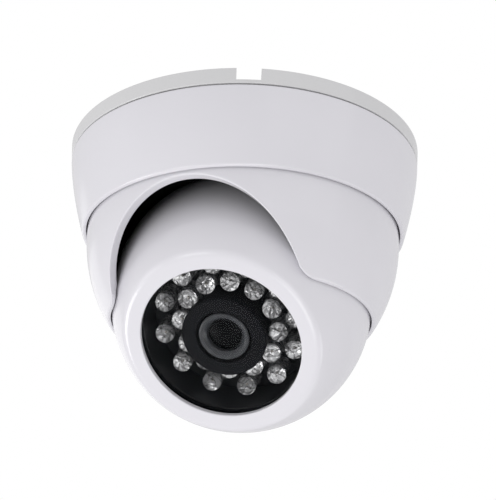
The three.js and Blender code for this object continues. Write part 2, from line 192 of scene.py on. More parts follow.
def rounded(corners, step=12):
    """A closed outline from corners (x, y) or (x, y, radius), the ones with a radius rounded off."""
    points = []
    for i, corner in enumerate(corners):
        here = Vector(corner[:2])
        radius = corner[2] if len(corner) > 2 else 0
        if radius == 0:
            points.append(tuple(here))
            continue
        a = (Vector(corners[i - 1][:2]) - here).normalized()
        b = (Vector(corners[(i + 1) % len(corners)][:2]) - here).normalized()
        half = a.angle(b) / 2
        centre = here + (a + b).normalized() * radius / math.sin(half)
        spoke = here + a * radius / math.tan(half) - centre
        sweep = spoke.angle_signed(here + b * radius / math.tan(half) - centre)
        count = max(2, math.ceil(math.degrees(abs(sweep)) / step))
        for k in range(count + 1):
            turn = Matrix.Rotation(-sweep * k / count, 2)
            points.append(tuple(centre + turn @ spoke))
    return points


def on_sphere(height, radius):
    """How far from the axis a sphere is at a height over its centre."""
    return math.sqrt(radius ** 2 - height ** 2)


def circle(radius, points=24):
    """A closed outline round the origin."""
    return arc(0, 0, radius, 0, 360 - 360 / points, points - 1)


def latitude(height, radius):
    """The angle in degrees at which a sphere reaches a height over its centre."""
    return math.degrees(math.asin(height / radius))


def around(ring, azimuth, height=0):
    """A point on a ring round the third axis."""
    angle = math.radians(azimuth)
    return Vector((ring * math.cos(angle), ring * math.sin(angle), height))


# ------------------------------------------------------------ meshes

def finished_object(name, mesh_data, place=UPRIGHT, sharp=SHARP_ANGLE):
    """A linked object from a bmesh in millimetres, with its place in its mesh."""
    bmesh.ops.recalc_face_normals(mesh_data, faces=mesh_data.faces)
    mesh_data.transform(Matrix.Scale(MM, 4) @ place)
    mesh = bpy.data.meshes.new(name)
    mesh_data.to_mesh(mesh)
    mesh_data.free()
    obj = bpy.data.objects.new(name, mesh)
    bpy.context.scene.collection.objects.link(obj)
    soften(obj, sharp)
    return obj


def soften(obj, sharp=SHARP_ANGLE):
    """Shades an object smooth, apart from edges sharper than an angle."""
    obj.data.shade_smooth()
    obj.data.set_sharp_from_angle(angle=math.radians(sharp))


def turned(profile, facets=FACETS["disc"]):
    """A bmesh turned about the third axis from points (radius, height) of a closed outline.

    An outline that starts and ends on the axis is left open along it.
    """
    made = bmesh.new()
    rings = []
    on_axis = 1e-6
    for radius, height in profile:
        if radius < on_axis:
            rings.append([made.verts.new((0, 0, height))] * facets)
        else:
            rings.append([made.verts.new(around(radius, 360 * k / facets, height)) for k in range(facets)])
    open_ended = profile[0][0] < on_axis and profile[-1][0] < on_axis
    pairs = list(zip(rings, rings[1:] if open_ended else rings[1:] + rings[:1]))
    for low, high in pairs:
        for k in range(facets):
            after = (k + 1) % facets
            corners = list(dict.fromkeys((low[k], low[after], high[after], high[k])))
            if len(corners) > 2:
                made.faces.new(corners)
    return made


def prism(outline, bottom, top):
    """A bmesh of a closed outline (x, y) between two heights."""
    made = bmesh.new()
    low = [made.verts.new((x, y, bottom)) for x, y in outline]
    high = [made.verts.new((x, y, top)) for x, y in outline]
    made.faces.new(low[::-1])
    made.faces.new(high)
    for k in range(len(outline)):
        after = (k + 1) % len(outline)
        made.faces.new((low[k], low[after], high[after], high[k]))
    return made


def joined(parts):
    """One bmesh from several (bmesh, matrix) pairs."""
    whole = bmesh.new()
    for part, place in parts:
        part.transform(place)
        scratch = bpy.data.meshes.new("scratch")
        part.to_mesh(scratch)
        whole.from_mesh(scratch)
        part.free()
        bpy.data.meshes.remove(scratch)
    return whole


def box(sizes, centre=(0, 0, 0)):
    made = bmesh.new()
    place = Matrix.Translation(centre) @ Matrix.Diagonal((*sizes, 1))
    bmesh.ops.create_cube(made, size=1, matrix=place)
    return made


def ring_sector(inner, outer, azimuth, span, bottom, top):
    """A part of a flat ring, its middle at an azimuth."""
    steps = 12
    start, end = azimuth - span / 2, azimuth + span / 2
    outline = arc(0, 0, outer, start, end, steps) + arc(0, 0, inner, end, start, steps)
    return prism(outline, bottom, top)


def even_normals(obj):
    """Weighs the normals by face size, so flat faces stay flat beside their rounded edges."""
    weighted = obj.modifiers.new("even_normals", "WEIGHTED_NORMAL")
    weighted.keep_sharp = True
    settle(obj)


def settle(obj):
    """Applies an object's modifiers and removes them."""
    depsgraph = bpy.context.evaluated_depsgraph_get()
    mesh = bpy.data.meshes.new_from_object(obj.evaluated_get(depsgraph))
    old = obj.data
    obj.modifiers.clear()
    obj.data = mesh
    mesh.name = obj.name
    bpy.data.meshes.remove(old)


def combine(obj, tool_mesh, operation, bevel=0, place=UPRIGHT):
    """Cuts a tool out of an object, or joins it on, and takes the new sharp edges off by a bevel."""
    tool = finished_object(obj.name + "_tool", tool_mesh, place)
    boolean = obj.modifiers.new("combine", "BOOLEAN")
    boolean.operation = operation
    boolean.solver = "EXACT"
    boolean.object = tool
    settle(obj)
    bpy.data.objects.remove(tool)
    if bevel:
        take_edges_off(obj, bevel)
    soften(obj)


def take_edges_off(obj, width, angle=50):
    """Bevels the edges that are sharper than an angle."""
    bevel = obj.modifiers.new("edges", "BEVEL")
    bevel.width = width * MM
    bevel.segments = 2
    bevel.limit_method = "ANGLE"
    bevel.angle_limit = math.radians(angle)
    bevel.use_clamp_overlap = True
    settle(obj)


# ------------------------------------------------------------ geometry nodes: copies round a ring

def ring_tree(material):
    """Node tree that stands copies of an object on a ring, each turned outwards and by its own angle."""
    tree = bpy.data.node_groups.new("copies_round_a_ring", "GeometryNodeTree")
    sockets = {}
    tree.interface.new_socket("Geometry", in_out="OUTPUT", socket_type="NodeSocketGeometry")
    inputs = [("Copy", "NodeSocketObject", None), ("Count", "NodeSocketInt", 3),
              ("Radius", "NodeSocketFloat", 0.01), ("Height", "NodeSocketFloat", 0),
              ("Start", "NodeSocketFloat", 0), ("Loose turn", "NodeSocketFloat", 0),
              ("Seed", "NodeSocketInt", 1)]
    for label, kind, value in inputs:
        socket = tree.interface.new_socket(label, in_out="INPUT", socket_type=kind)
        if value is not None:
            socket.default_value = value
        sockets[label] = socket.identifier

    def add(kind, given_inputs, **settings):
        node = tree.nodes.new(kind)
        for label, value in settings.items():
            setattr(node, label, value)
        for label, value in given_inputs.items():
            if isinstance(value, bpy.types.NodeSocket):
                tree.links.new(value, node.inputs[label])
            else:
                node.inputs[label].default_value = value
        return node

    def maths(operation, a, b=0.0):
        return add("ShaderNodeMath", {0: a, 1: b}, operation=operation).outputs[0]

    given = tree.nodes.new("NodeGroupInput").outputs
    index = tree.nodes.new("GeometryNodeInputIndex").outputs[0]
    share = maths("DIVIDE", index, given["Count"])
    angle = maths("ADD", maths("MULTIPLY", share, 2 * math.pi), given["Start"])
    spot = add("ShaderNodeCombineXYZ", {"X": maths("MULTIPLY", maths("COSINE", angle), given["Radius"]),
                                        "Y": maths("MULTIPLY", maths("SINE", angle), given["Radius"]),
                                        "Z": given["Height"]})
    points = add("GeometryNodePoints", {"Count": given["Count"], "Position": spot.outputs[0]})
    limit = given["Loose turn"]
    random_turn = add("FunctionNodeRandomValue", {2: maths("MULTIPLY", limit, -1), 3: limit,
                                                  "Seed": given["Seed"]}, data_type="FLOAT")
    turn = add("ShaderNodeCombineXYZ", {"Z": maths("ADD", angle, random_turn.outputs[1])})
    source = add("GeometryNodeObjectInfo", {"Object": given["Copy"]})
    copies = add("GeometryNodeInstanceOnPoints", {"Points": points.outputs[0], "Rotation": turn.outputs[0],
                                                  "Instance": source.outputs["Geometry"]})
    real = add("GeometryNodeRealizeInstances", {"Geometry": copies.outputs[0]})
    painted = add("GeometryNodeSetMaterial", {"Geometry": real.outputs[0], "Material": material})
    output = tree.nodes.new("NodeGroupOutput")
    tree.links.new(painted.outputs[0], output.inputs[0])
    return tree, sockets


def ring_of_copies(name, template, material, rings, place=UPRIGHT):
    """One plain mesh of copies of a bmesh. A ring is a dictionary of the tree's inputs, in millimetres."""
    source = finished_object(name + "_template", template)
    tree, sockets = ring_tree(material)
    parts = []
    for ring in rings:
        holder = bpy.data.objects.new(name + "_ring", bpy.data.meshes.new(name + "_ring"))
        bpy.context.scene.collection.objects.link(holder)
        modifier = holder.modifiers.new("copies", "NODES")
        modifier.node_group = tree
        modifier[sockets["Copy"]] = source
        for label, value in ring.items():
            modifier[sockets[label]] = value * MM if label in ("Radius", "Height") else value
        settle(holder)
        part = bmesh.new()
        part.from_mesh(holder.data)
        parts.append((part, Matrix.Scale(1 / MM, 4)))
        bpy.data.objects.remove(holder)
    obj = finished_object(name, joined(parts), place)
    obj.data.materials.append(material)
    bpy.data.objects.remove(source)
    bpy.data.node_groups.remove(tree)
    return obj


# ------------------------------------------------------------ materials

class Value:
    """A number in a material's node tree. Python's operators on it add Math nodes."""

    def __init__(self, paint, socket):
        self.paint = paint
        self.socket = socket

    def _maths(self, operation, *values):
        return self.paint.node("ShaderNodeMath", {"operation": operation}, dict(enumerate(values)))

    def __add__(self, other):
        return self._maths("ADD", self, other)

    def __radd__(self, other):
        return self._maths("ADD", other, self)

    def __sub__(self, other):
        return self._maths("SUBTRACT", self, other)

    def __rsub__(self, other):
        return self._maths("SUBTRACT", other, self)

    def __mul__(self, other):
        return self._maths("MULTIPLY", self, other)

    def __rmul__(self, other):
        return self._maths("MULTIPLY", other, self)

    def __gt__(self, other):
        return self._maths("GREATER_THAN", self, other)

    def __lt__(self, other):
        return self._maths("LESS_THAN", self, other)


class Paint:
    """A material with one Principled shader."""

    def __init__(self, name, **constants):
        self.material = bpy.data.materials.new(name)
        self.material.use_nodes = True
        self.tree = self.material.node_tree
        self.shader = self.tree.nodes["Principled BSDF"]
        for label, value in constants.items():
            self.shader.inputs[label.replace("_", " ")].default_value = value

    def node(self, kind, settings=None, inputs=None, output=0):
        """Adds a node, sets its settings first, then its sockets by name or place, and gives one output."""
        node = self.tree.nodes.new(kind)
        for label, value in (settings or {}).items():
            if label == "stops":
                self._set_stops(node.color_ramp, value)
            else:
                setattr(node, label, value)
        for label, value in (inputs or {}).items():
            if isinstance(value, Value):
                self.tree.links.new(value.socket, node.inputs[label])
            else:
                node.inputs[label].default_value = value
        return Value(self, node.outputs[output])

    @staticmethod
    def _set_stops(ramp, stops):
        while len(ramp.elements) < len(stops):
            ramp.elements.new(1)
        for element, (at, colour) in zip(ramp.elements, stops):
            element.position = at
            element.color = colour

    def place(self):
        return self.node("ShaderNodeTexCoord", output="Object")

    def noise(self, per_millimetre, detail=2.0, roughness=0.5):
        scale = per_millimetre / MM
        inputs = {"Vector": self.place(), "Scale": scale, "Detail": detail, "Roughness": roughness}
        return self.node("ShaderNodeTexNoise", {}, inputs)

    def cells(self, settings, per_millimetre, **constants):
        """Distance in a pattern of cells."""
        inputs = {"Vector": self.place(), "Scale": per_millimetre / MM, **constants}
        return self.node("ShaderNodeTexVoronoi", settings, inputs, output="Distance")

    def blend(self, amount, first, second):
        return self.node("ShaderNodeMix", {"data_type": "RGBA"}, {0: amount, 6: first, 7: second}, output=2)

    def ramp(self, value, low, high):
        stops = [(low, (0, 0, 0, 1)), (high, (1, 1, 1, 1))]
        return self.node("ShaderNodeValToRGB", {"stops": stops}, {"Fac": value})

    def feed(self, label, value):
        self.tree.links.new(value.socket, self.shader.inputs[label])

    def coated(self):
        """The Principled shader itself, to mix with another."""
        return Value(self, self.shader.outputs["BSDF"])

    def surface(self, value):
        """Puts a mixed shader in place of the Principled one."""
        self.tree.links.new(value.socket, self.tree.nodes["Material Output"].inputs["Surface"])

    def bump(self, height, distance, strength=1.0):
        """Distance is in millimetres."""
        self.feed("Normal", self.node("ShaderNodeBump", {}, {"Height": height, "Distance": distance * MM,
                                                            "Strength": strength}))


def rgba(colour, factor=1.0):
    """A colour made lighter or darker, with full alpha."""
    return (*(min(1.0, channel * factor) for channel in colour), 1)


PLASTIC_GLOSS = {"IOR": 1.5, "Specular_IOR_Level": 0.2, "Coat_Weight": 0.9, "Coat_Roughness": 0.15}
FINE_GRAIN = 0.004
COARSE_GRAIN = 0.008


def mould(paint, colour, roughness, grain):
    """Faint clouds in a plastic's colour, uneven gloss and a fine spark-eroded grain."""
    clouds = paint.noise(0.05, 3)
    paint.feed("Base Color", paint.blend(clouds, rgba(colour, 0.975), rgba(colour, 1.02)))
    paint.feed("Roughness", paint.noise(0.4, 3) * 0.10 + (roughness - 0.05))
    paint.bump(paint.noise(7, 2) + paint.noise(0.25, 1) * 2, grain)


def moulded_plastic(name, colour, roughness, grain=FINE_GRAIN):
    paint = Paint(name, **PLASTIC_GLOSS)
    mould(paint, colour, roughness, grain)
    return paint.material


def plastic_painted_shade_inside(name, colour, roughness, black, centre, radius):
    """Plastic with painted shade: near-black where it is nearer than a radius to a centre, in millimetres,
    standing in for the shadow inside the shroud.
    """
    paint = Paint(name, **PLASTIC_GLOSS)
    mould(paint, colour, roughness, FINE_GRAIN)
    reach = paint.node("ShaderNodeVectorMath", {"operation": "DISTANCE"}, {0: paint.place(), 1: centre * MM},
                       output="Value")
    ragged_edge = reach + (paint.noise(2, 2) - 0.5) * 0.2 * MM
    white = ragged_edge > radius * MM
    # painted shade: a near-black, unshiny surface where the shroud's inside lies in shadow
    painted_shade = {"Base Color": rgba(black, 0.2), "Roughness": 0.9, "Specular IOR Level": 0.0}
    painted_shade_bsdf = paint.node("ShaderNodeBsdfPrincipled", {}, painted_shade)
    paint.surface(paint.node("ShaderNodeMixShader", {}, {0: white, 1: painted_shade_bsdf, 2: paint.coated()}))
    return paint.material


def dark_plastic(name, colour, roughness):
    """Black moulded plastic with an uneven shine."""
    paint = Paint(name, IOR=1.48)
    paint.feed("Base Color", paint.blend(paint.noise(0.6, 3), rgba(colour, 0.7), rgba(colour, 1.4)))
    paint.feed("Roughness", paint.noise(1.2, 2) * 0.16 + (roughness - 0.08))
    paint.bump(paint.noise(9, 3), 0.006)
    return paint.material


def soft_rubber(name, colour):
    """Dull rubber with a fine grain."""
    paint = Paint(name, IOR=1.45, Specular_IOR_Level=0.1)
    paint.feed("Base Color", paint.blend(paint.noise(1.5, 4), rgba(colour, 0.8), rgba(colour, 1.5)))
    paint.feed("Roughness", paint.noise(2, 2) * 0.15 + 0.55)
    paint.bump(paint.noise(6, 4), 0.012)
    return paint.material


def zinc_steel(name):
    """Plated steel, brushed by its turning, with dull patches."""
    paint = Paint(name, Metallic=1.0)
    patches = paint.noise(1.2, 4)
    paint.feed("Base Color", paint.blend(patches, (0.50, 0.50, 0.52, 1), (0.68, 0.67, 0.64, 1)))
    paint.feed("Roughness", patches * 0.2 + 0.2)
    paint.bump(paint.noise(12, 2), 0.004)
    return paint.material


def bright_metal(name, colour, roughness, metallic):
    """Bright plated metal with the ripple of its stamping, painted winding dark lines and painted grey facet edges
    that stand in for the dark reflections seen inside a lamp.
    """
    paint = Paint(name, Metallic=metallic)
    ripple = paint.noise(1.6, 2)
    facet_edge = paint.cells({"feature": "DISTANCE_TO_EDGE"}, 0.5)
    # painted shade: facet edges darkened to half the colour
    facets = paint.blend(paint.ramp(facet_edge, 0.0, 0.12), rgba(colour, 0.5), rgba(colour, 1.05))
    winding = paint.noise(0.55, 1) - 0.5
    painted_dark_line = paint.node("ShaderNodeMath", {"operation": "ABSOLUTE"}, {0: winding})
    # painted reflection: winding lines at 0.15 of the colour stand in for dark reflections
    paint.feed("Base Color", paint.blend(paint.ramp(painted_dark_line, 0.004, 0.03), rgba(colour, 0.15), facets))
    paint.feed("Roughness", ripple * 0.1 + (roughness - 0.05))
    paint.bump(ripple, 0.25)
    return paint.material


def pressed_felt(name):
    """Grey felt of short fibres."""
    paint = Paint(name, Sheen_Weight=0.6, Roughness=0.95)
    fibres = paint.noise(8, 6, 0.7)
    paint.feed("Base Color", paint.blend(fibres, (0.05, 0.05, 0.055, 1), (0.17, 0.17, 0.18, 1)))
    paint.bump(fibres, 0.08)
    return paint.material


def solder_mask(name, colour, copper):
    """A circuit board: glossy solder mask over raised tracks."""
    paint = Paint(name, IOR=1.5)
    grid = paint.cells({"feature": "F1", "distance": "CHEBYCHEV"}, 0.45, Randomness=0.0)
    tracks = paint.node("ShaderNodeMath", {"operation": "PINGPONG"}, {0: grid, 1: 0.11})
    raised = paint.ramp(tracks, 0.035, 0.05)
    paint.feed("Base Color", paint.blend(raised, rgba(colour), rgba(copper)))
    paint.feed("Roughness", paint.noise(3, 2) * 0.1 + 0.28)
    paint.bump(raised, 0.03)
    return paint.material


def clear_epoxy(name):
    """Cast clear resin with the slight flow marks of its mould."""
    paint = Paint(name, IOR=1.52, Transmission_Weight=0.95)
    marks = paint.noise(0.7, 2)
    paint.feed("Base Color", paint.blend(marks, (0.96, 0.97, 0.98, 1), (1, 1, 1, 1)))
    paint.feed("Roughness", marks * 0.03)
    paint.bump(marks, 0.03)
    return paint.material


def window_pane(name):
    """Thin coated pane that shows what is behind it, with a faint smear in its gloss."""
    paint = Paint(name, IOR=1.5, Base_Color=(0.01, 0.012, 0.014, 1))
    smear = paint.noise(0.12, 3)
    paint.feed("Roughness", smear * 0.05 + 0.01)
    paint.feed("Alpha", smear * 0.02 + 0.05)
    return paint.material


def coated_lens(name):
    """Front element of the lens: painted near-black, standing in for the shade inside the lens, with a faint
    violet coating.
    """
    paint = Paint(name, IOR=1.5, Specular_IOR_Level=0.05)
    tint = paint.noise(0.2, 2)
    # the near-black base colour is painted shade for the dark inside of the lens
    paint.feed("Base Color", paint.blend(tint, (0.0015, 0.0018, 0.002, 1), (0.003, 0.0035, 0.004, 1)))
    paint.feed("Roughness", tint * 0.03 + 0.25)
    return paint.material


def image_chip(name):
    """The image sensor's glossy face."""
    paint = Paint(name, IOR=1.5)
    mottle = paint.noise(12, 1)
    paint.feed("Base Color", paint.blend(mottle, (0.01, 0.012, 0.03, 1), (0.05, 0.03, 0.06, 1)))
    paint.feed("Roughness", mottle * 0.1 + 0.1)
    return paint.material


MATERIALS = {}


def make_materials(colours):
    """One material for each slot of the record, and those that only the looks need."""
    shell, base, black = tuple(colours.shell), tuple(colours.base), tuple(colours.black)
    middle, inside = Vector((0, 0, SHROUD_CENTRE)), SHROUD_RADIUS - SHROUD_WALL + 0.05
    MATERIALS.update({
        "white_plastic": moulded_plastic("white_plastic", shell, 0.3),
        # the shroud's inner surface is painted with shade
        "shroud_plastic": plastic_painted_shade_inside("shroud_plastic", shell, 0.3, black, middle, inside),
        "base_plastic": moulded_plastic("base_plastic", base, 0.5, COARSE_GRAIN),
        "black_plastic": dark_plastic("black_plastic", black, 0.45),
        "black_rubber": soft_rubber("black_rubber", black),
        "felt": pressed_felt("felt"),
        "steel": zinc_steel("steel"),
        "board_black": solder_mask("board_black", tuple(colours.board), (0.012, 0.013, 0.014)),
        "board_green": solder_mask("board_green", (0.01, 0.09, 0.03), (0.02, 0.16, 0.06)),
        "led_epoxy": clear_epoxy("led_epoxy"),
        "window_glass": window_pane("window_glass"),
        "lens_glass": coated_lens("lens_glass"),
        "sensor": image_chip("sensor"),
        "cable_jacket": dark_plastic("cable_jacket", (0.02, 0.02, 0.02), 0.5),
        "lamp_frame": bright_metal("lamp_frame", (0.99, 0.99, 0.99), 0.14, 0.6),
        "lamp_chip": bright_metal("lamp_chip", (0.35, 0.33, 0.30), 0.3, 1.0),
        "lens_ring": dark_plastic("lens_ring", (0.05, 0.053, 0.058), 0.2),
    })


def dress(obj, body, slot, *nodes, material=None):
    """Gives a piece its material, by its slot unless another is named, and its body, and hides the CAD nodes that
    it stands for.
    """
    even_normals(obj)
    obj.data.materials.clear()
    obj.data.materials.append(MATERIALS[material or slot])
    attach(obj, body)
    if nodes:
        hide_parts(*nodes)
    return obj


# ------------------------------------------------------------ base

def base_shell():
    low = BASE_RADIUS - RIM_DRAFT
    inner = low - RIM_WALL
    collar_out, collar_in, collar_end = COLLAR["outer"], COLLAR["inner"], BASE_LOW.z
    profile = rounded([
        (0, 0), (BASE_RADIUS, 0, 0.35), (low, -RIM_HEIGHT, 0.3), (inner, -RIM_HEIGHT, 0.2),
        (inner, -PLATE, 0.3), (collar_out, -PLATE, 0.3), (collar_out, collar_end, 0.4),
        (collar_in, collar_end, 0.4), (collar_in, -PLATE, 0.3), (0, -PLATE)])
    obj = finished_object("base_shell", turned(profile))
    root, tip = collar_out - BASE_LUG["into_wall"], BASE_LUG["outer"]
    lugs = [(ring_sector(root, tip, azimuth, LUGS["span"], collar_end, BASE_LUG["top"]), UPRIGHT)
            for azimuth in LUGS["azimuths"]]
    combine(obj, joined(lugs), "UNION")
    half = SCREW_SLOT["length"] / 2 - SCREW_SLOT["radius"]
    outline = arc(0, half, SCREW_SLOT["radius"], 0, 180, 12)
    outline += arc(0, -half, SCREW_SLOT["radius"], 180, 360, 12)
    past = 1        # how far a cutter stands out past the plate
    holes = []
    out_to_slot = Matrix.Translation((SCREW_SLOT["ring"], 0, 0))
    for azimuth in SCREW_SLOT["azimuths"]:
        turn = Matrix.Rotation(math.radians(azimuth), 4, "Z")
        holes.append((prism(outline, -PLATE - past, past), turn @ out_to_slot))
    cable_hole = prism(circle(GROMMET["hole"], 48), -PLATE - past, past)
    holes.append((cable_hole, Matrix.Translation((0, GROMMET_AT.y, 0))))
    outside = BASE_RADIUS + 4
    notch = box((outside - NOTCH["inner"], NOTCH["width"], NOTCH["depth"] + past),
                ((outside + NOTCH["inner"]) / 2, 0, (past - NOTCH["depth"]) / 2))
    holes.append((notch, Matrix.Rotation(math.radians(NOTCH["azimuth"] - 90), 4, "Z")))
    combine(obj, joined(holes), "DIFFERENCE", 0.2)
    return dress(obj, "base", "base_plastic", "base_plate")


def grommet():
    bore, flange = GROMMET["bore"], GROMMET_HIGH.x
    neck = GROMMET["hole"] - FIT
    step = -PLATE - FIT
    profile = rounded([(bore, GROMMET_LOW.z, 0.5), (flange, GROMMET_LOW.z, 0.7), (flange, step, 0.3),
                       (neck, step), (neck, GROMMET_HIGH.z, 0.5), (bore, GROMMET_HIGH.z, 0.5)])
    place = Matrix.Translation((0, GROMMET_AT.y, 0))
    obj = finished_object("grommet", turned(profile, FACETS["ring"]), place)
    return dress(obj, "base", "black_rubber", "cable_grommet")


# ------------------------------------------------------------ cover ring

def cover_outer(z):
    """The cover ring's outer radius at a height."""
    drop = (COVER_HIGH.z - z) / COVER_TAPER["drop"]
    return COVER_HIGH.x - COVER_TAPER["pull"] * drop ** COVER_TAPER["power"]


def cover(sizes):
    top, bottom = COVER_HIGH.z, COVER_LOW.z
    shelf_top, shelf_low, shelf_in = SHELF["top"], SHELF["bottom"], SHELF["inner"]
    bore = SHROUD_RADIUS + FIT
    steps = 28
    heights = [top + (bottom - top) * i / steps for i in range(1, steps)]
    bore_top, wall_bend = -20, -10
    profile = rounded([
        (COVER_HIGH.x - WALL, top, 0.3), (COVER_HIGH.x, top, sizes.edge / MM),
        *[(cover_outer(z), z) for z in heights],
        (cover_outer(bottom), bottom, 0.75), (bore, bottom, 0.25), (bore, bore_top),
        (cover_outer(shelf_low) - WALL, shelf_low, 0.4), (shelf_in, shelf_low, 0.3),
        (shelf_in, shelf_top, 0.3), (cover_outer(shelf_top) - WALL, shelf_top, 0.4),
        (cover_outer(wall_bend) - WALL, wall_bend)])
    obj = finished_object("cover_shell", turned(profile, FACETS["shell"]))
    root = COVER_HIGH.x - COVER_LUG["into_wall"]
    parts = [ring_sector(COVER_LUG["inner"], root, azimuth, LUGS["span"], COVER_LUG["bottom"], top - FIT)
             for azimuth in LUGS["azimuths"]]
    parts.append(ring_sector(PAN_STOP["inner"], cover_outer(shelf_top) - 1, PAN_STOP["azimuth"],
                             PAN_STOP["span"], shelf_top - 0.5, RETAINER_TOP))
    combine(obj, joined([(part, UPRIGHT) for part in parts]), "UNION")
    return dress(obj, "cover", "white_plastic", "cover_ring")


# ------------------------------------------------------------ shroud

def shroud_outline():
    """Half of the shroud's lower edge, from the arch's top round to the back.

    Each point is (outer azimuth, height, inner azimuth, outer radius, inner radius). The arch is cut
    straight in from the front, so its inner edge stands as far to the side as its outer edge.
    """
    inner_radius = SHROUD_RADIUS - SHROUD_WALL

    def outer(z):
        return on_sphere(z - SHROUD_CENTRE, SHROUD_RADIUS)

    def inner(z):
        return max(on_sphere(z - SHROUD_CENTRE, inner_radius), clearance(z))

    foot = RIM + ARCH["corner"]
    half = on_sphere(foot - ARCH["centre"], ARCH["radius"])
    spring = latitude(foot - ARCH["centre"], ARCH["radius"])
    arch = arc(0, ARCH["centre"], ARCH["radius"], 90, spring, 60)
    corner = arc(half + ARCH["corner"], foot, ARCH["corner"], 180, 270, 12)[1:]
    edge = []
    for x, z in arch + corner:
        edge.append((math.degrees(math.asin(x / outer(z))), z, math.degrees(math.asin(x / inner(z)))))
    start, _, inner_start = edge[-1]
    steps = 90
    lead_fades_over = 25
    for i in range(1, steps + 1):
        azimuth = start + (180 - start) * i / steps
        lead = (inner_start - start) * max(0, 1 - (azimuth - start) / lead_fades_over)
        edge.append((azimuth, RIM, azimuth + lead))
    return [(a, z, b, outer(z), inner(z)) for a, z, b in edge]


def clearance(z):
    """Radius of the room that the ball needs at a height, or 0 above or below it."""
    height = z - JOINTS["tilt"]["pos_m"][2] / MM
    radius = BALL_RADIUS + BALL_PLAY
    return on_sphere(height, radius) if abs(height) < radius else 0


def soft_corner(before, corner, after, reach, steps=5):
    """Points of a rounded corner between two neighbours, from and to a reach off the corner."""
    start = corner + (before - corner).normalized() * reach
    end = corner + (after - corner).normalized() * reach
    weights = [i / steps for i in range(steps + 1)]
    return [start * (1 - t) ** 2 + corner * 2 * t * (1 - t) + end * t ** 2 for t in weights]


def shroud_column(edge, sign, reach):
    """One closed loop of points through the shroud's wall, above one point of its lower edge."""
    azimuth, z_edge, inner_azimuth, outer_radius, inner_radius = edge
    inner_reach = reach * 0.45
    clear_outside, clear_inside = reach * 1.3, reach * 0.7
    roof = 2
    rows = 34

    def at(radius, degrees, z):
        angle = math.radians(sign * degrees)
        return Vector((radius * math.sin(angle), -radius * math.cos(angle), z))

    def height(top, share):
        return top + (z_edge - top) * share

    outer = []
    for i in range(rows):
        z = height(SHROUD_TOP, i / rows)
        outer.append(at(on_sphere(z - SHROUD_CENTRE, SHROUD_RADIUS), azimuth, z))
    under = SHROUD_TOP - roof
    inner = []
    for i in range(rows):
        z = height(under, i / rows)
        inner.append(at(max(on_sphere(z - SHROUD_CENTRE, SHROUD_RADIUS - SHROUD_WALL), clearance(z)),
                        inner_azimuth, z))
    out_corner = at(outer_radius, azimuth, z_edge)
    in_corner = at(inner_radius, inner_azimuth, z_edge)
    outside = [point for point in outer if (point - out_corner).length > clear_outside]
    inside = [point for point in inner if (point - in_corner).length > clear_inside]
    lost_out, lost_in = rows - len(outside), rows - len(inside)
    out_arc = soft_corner(outside[-1], out_corner, in_corner, reach)
    in_arc = soft_corner(out_corner, in_corner, inside[-1], inner_reach, 3)
    fill_out = [outside[-1].lerp(out_arc[0], (i + 1) / (lost_out + 1)) for i in range(lost_out)]
    fill_in = [in_arc[-1].lerp(inside[-1], (i + 1) / (lost_in + 1)) for i in range(lost_in)]
    lip = [at(FLANGE_INNER, inner_azimuth, under), at(FLANGE_INNER, azimuth, SHROUD_TOP)]
    return outside + fill_out + out_arc + in_arc + fill_in + inside[::-1] + lip


def shroud(sizes):
    half = shroud_outline()
    columns = [shroud_column(edge, 1, sizes.arch_edge / MM) for edge in half]
    columns += [shroud_column(edge, -1, sizes.arch_edge / MM) for edge in half[-2:0:-1]]
    made = bmesh.new()
    rings = [[made.verts.new(point) for point in column] for column in columns]
    for ring, after in zip(rings, rings[1:] + rings[:1]):
        for k in range(len(ring)):
            n = (k + 1) % len(ring)
            made.faces.new((ring[k], ring[n], after[n], after[k]))
    obj = finished_object("shroud_shell", made, Matrix.Rotation(math.radians(ARCH["turn"]), 4, "Z"), 40)
    # the shroud's inner surface carries painted shade
    return dress(obj, "shroud", "white_plastic", "shroud", material="shroud_plastic")


def shroud_bosses():
    """The hollow posts that the retainer's screws go into."""
    bore, radius, height = 1.2, 2.3, SHROUD_HIGH.z - SHROUD_TOP
    template = turned(rounded([(bore, 0), (radius, 0, 0.2), (radius, height, 0.3), (bore, height)]),
                      FACETS["post"])
    ring = {"Count": RETAINER_SCREWS["count"], "Radius": RETAINER_SCREWS["ring"], "Height": SHROUD_TOP,
            "Start": math.radians(RETAINER_SCREWS["start"])}
    obj = ring_of_copies("shroud_bosses", template, MATERIALS["white_plastic"], [ring])
    return dress(obj, "shroud", "white_plastic")


def light_shield():
    """A black disc on the shroud's shoulder, a dark sheet put where the gap under the arch shows only shade: it
    hides the lit inside of the base, and has a hole for the cable.
    """
    hole, radius = SHADE_DISC["hole"], SHADE_DISC["radius"]
    low = SHROUD_TOP + SHADE_DISC["gap"]
    high = low + SHADE_DISC["thickness"]
    profile = rounded([(hole, low, 0.1), (radius, low, 0.1), (radius, high, 0.1), (hole, high, 0.1)])
    return dress(finished_object("light_shield", turned(profile)), "shroud", "black_plastic")


# ------------------------------------------------------------ camera ball

